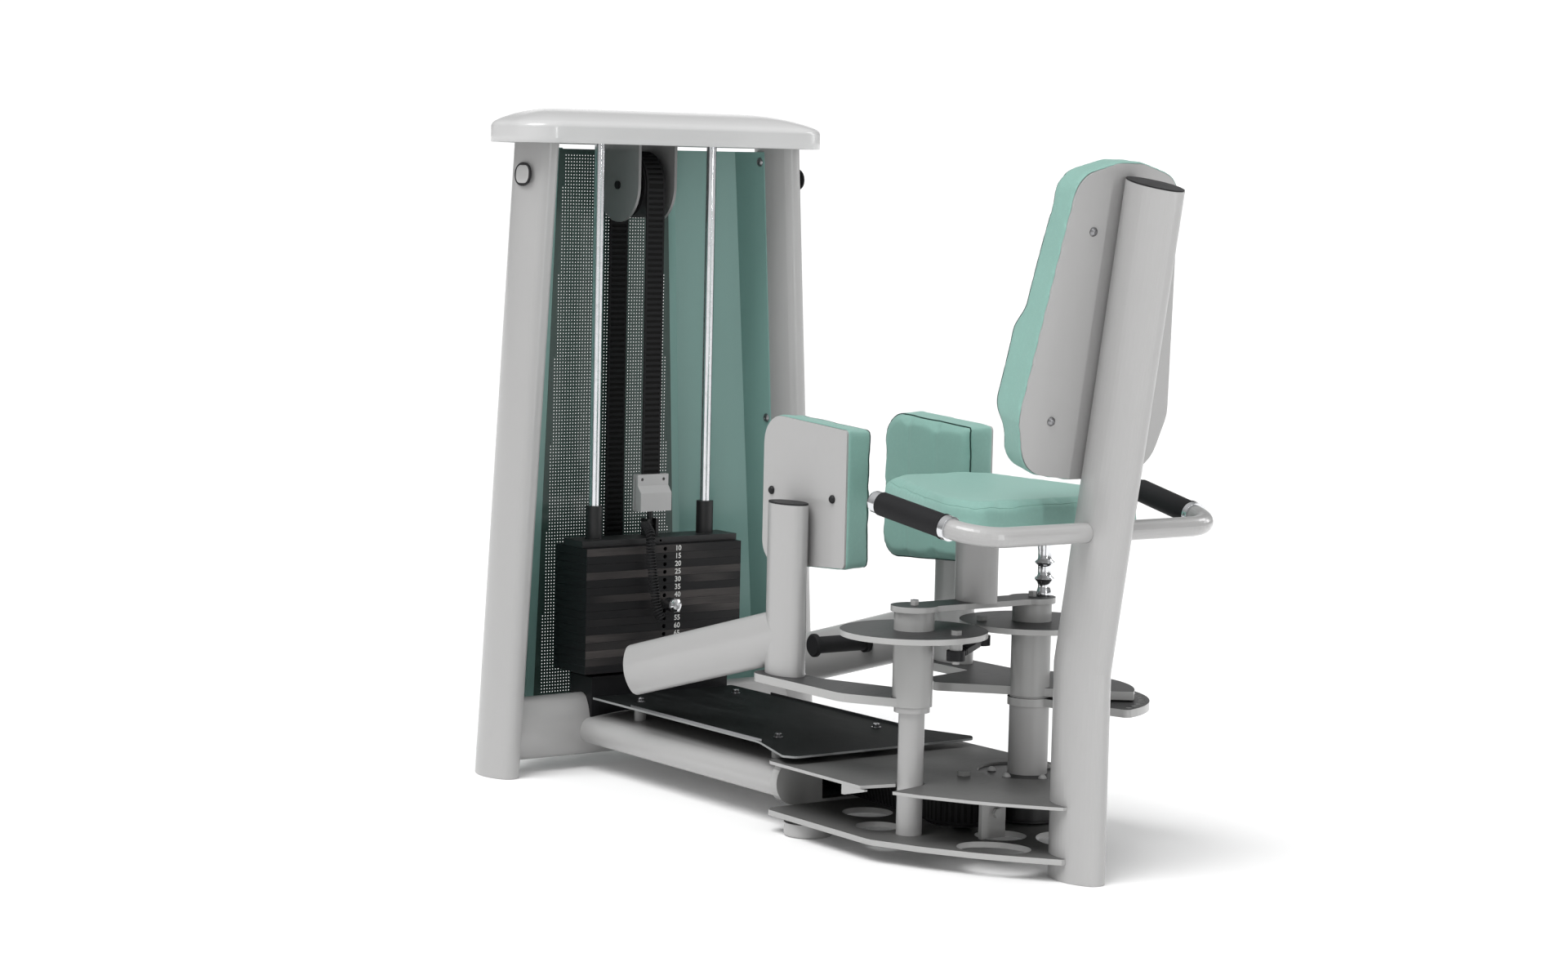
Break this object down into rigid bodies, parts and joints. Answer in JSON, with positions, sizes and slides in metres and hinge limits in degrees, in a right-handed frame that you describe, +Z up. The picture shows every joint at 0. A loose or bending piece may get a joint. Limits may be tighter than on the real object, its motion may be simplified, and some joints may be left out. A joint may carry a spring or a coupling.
{
  "type": "hip abductor machine",
  "caption": "Selectorised hip abductor gym machine: a seat and leaning back rest between two linked thigh-pad arms that lift a weight stack by belt.",
  "frame": {"origin": "on the floor, under the middle of the machine's bounding box", "axes": "+Z up, +Y from the back post forward to the weight tower, +X to the user's right"},
  "size_m": [0.7654, 1.6888, 1.279],
  "materials": {
    "frame_paint": "satin warm light grey powder coat",
    "cover_plastic": "satin moulded plastic in the frame's light grey",
    "plate_paint": "satin light grey powder coat on laser-cut plate",
    "guard_paint": "satin teal green powder coat on sheet steel",
    "chrome": "polished chrome",
    "black_plastic": "fine-grained black plastic",
    "black_metal": "satin black enamel",
    "rubber": "matt black rubber",
    "belt_rubber": "matt black reinforced rubber",
    "stack_steel": "dark grey enamelled steel plates",
    "upholstery": "mint green vinyl upholstery"
  },
  "bodies": {
    "frame": {"back_post": "frame_paint", "post_trim": "black_plastic", "lower_base_plate": "plate_paint", "upper_base_plate": "plate_paint", "beam_flange": "plate_paint", "central_beam": "frame_paint", "tower_cross_beam": "frame_paint", "left_tower_post": "frame_paint", "right_tower_post": "frame_paint", "tower_top_beam": "frame_paint", "tower_cover": "cover_plastic", "perforated_panel": "guard_paint", "left_side_panel": "guard_paint", "right_side_panel": "guard_paint", "frame_fixings": "chrome", "guide_rods": "chrome", "stack_pedestal": "black_metal", "resting_weight_plates": "stack_steel", "pulley_bracket": "plate_paint", "pulley_axles": "black_metal", "foot_plate": "rubber", "pivot_shafts": "frame_paint", "link_plate": "plate_paint", "seat_column": "frame_paint", "seat_board": "black_plastic", "seat_cushion": "upholstery", "back_board": "frame_paint", "back_cushion": "upholstery", "left_handle": "frame_paint", "right_handle": "frame_paint", "handle_grips": "rubber", "handle_trim": "chrome", "base_feet": "rubber", "drive_belt": "belt_rubber", "idler_mount": "plate_paint"},
    "drive": {"drive_shaft": "frame_paint", "drive_sector": "plate_paint"},
    "right_arm": {"right_arm": "plate_paint", "right_pad_post": "frame_paint", "right_pad_trim": "black_plastic", "right_pad_board": "frame_paint", "right_pad_cushion": "upholstery", "right_foot_peg": "rubber"},
    "left_arm": {"left_arm": "plate_paint", "left_pad_post": "frame_paint", "left_pad_trim": "black_plastic", "left_pad_board": "frame_paint", "left_pad_cushion": "upholstery", "left_foot_peg": "rubber"},
    "link_rod": {"link_rod": "chrome"},
    "weight_carriage": {"weight_head": "black_metal", "lifted_weight_plates": "stack_steel", "belt_lift_strand": "belt_rubber", "pin_lanyard": "belt_rubber"},
    "selector_pin": {"selector_pin": "chrome"},
    "start_pin": {"start_pin": "chrome"},
    "lock_knob": {"lock_knob": "chrome"},
    "top_pulley": {"top_pulley": "black_plastic"},
    "foot_pulley": {"foot_pulley": "black_plastic"},
    "idler_pulley": {"idler_pulley": "black_plastic"}
  },
  "joints": [
    {"name": "drive_turn", "type": "hinge", "parent": "frame", "child": "drive", "pos_m": [0.1308, -0.35381, 0.15], "axis": [0, 0, -1], "range_deg": [0, 50]},
    {"name": "right_arm_swing", "type": "hinge", "parent": "frame", "child": "right_arm", "pos_m": [0.1308, -0.35381, 0.3], "axis": [0, 0, -1], "range_deg": [0, 50]},
    {"name": "left_arm_swing", "type": "hinge", "parent": "frame", "child": "left_arm", "pos_m": [-0.1308, -0.35381, 0.3], "axis": [0, 0, 1], "range_deg": [0, 50]},
    {"name": "link_rod_pivot", "type": "hinge", "parent": "left_arm", "child": "link_rod", "pos_m": [-0.10751, -0.44075, 0.359], "axis": [0, 0, 1], "range_deg": [-48, 0]},
    {"name": "stack_lift", "type": "slide", "parent": "frame", "child": "weight_carriage", "axis": [0, 0, 1], "range_m": [0, 0.0514], "deforming": ["belt_lift_strand"]},
    {"name": "selector_pin_slide", "type": "slide", "parent": "weight_carriage", "child": "selector_pin", "axis": [0, -1, 0], "range_m": [0, 0.06]},
    {"name": "start_pin_slide", "type": "slide", "parent": "right_arm", "child": "start_pin", "axis": [0, 0, 1], "range_m": [0, 0.016]},
    {"name": "lock_knob_slide", "type": "slide", "parent": "frame", "child": "lock_knob", "axis": [0, 0, 1], "range_m": [0, 0.01]},
    {"name": "top_pulley_turn", "type": "hinge", "parent": "frame", "child": "top_pulley", "pos_m": [0, 0.73309, 1.134], "axis": [-1, 0, 0], "range_deg": [0, 45.26]},
    {"name": "foot_pulley_turn", "type": "hinge", "parent": "frame", "child": "foot_pulley", "pos_m": [0, 0.75659, 0.1148], "axis": [-1, 0, 0], "range_deg": [0, 70.14]},
    {"name": "idler_turn", "type": "hinge", "parent": "frame", "child": "idler_pulley", "pos_m": [0, -0.33801, 0.073], "axis": [0, 0, 1], "range_deg": [0, 46.3]}
  ],
  "couplings": [
    {"joint": "right_arm_swing", "follows": "drive_turn", "ratio": 1},
    {"joint": "left_arm_swing", "follows": "drive_turn", "ratio": 1},
    {"joint": "link_rod_pivot", "follows": "drive_turn", "ratio": -0.9355},
    {"joint": "stack_lift", "follows": "drive_turn", "m_per_rad": 0.0578},
    {"joint": "top_pulley_turn", "follows": "drive_turn", "ratio": 0.88515},
    {"joint": "foot_pulley_turn", "follows": "drive_turn", "ratio": 1.3828},
    {"joint": "idler_turn", "follows": "drive_turn", "ratio": 0.90596}
  ]
}
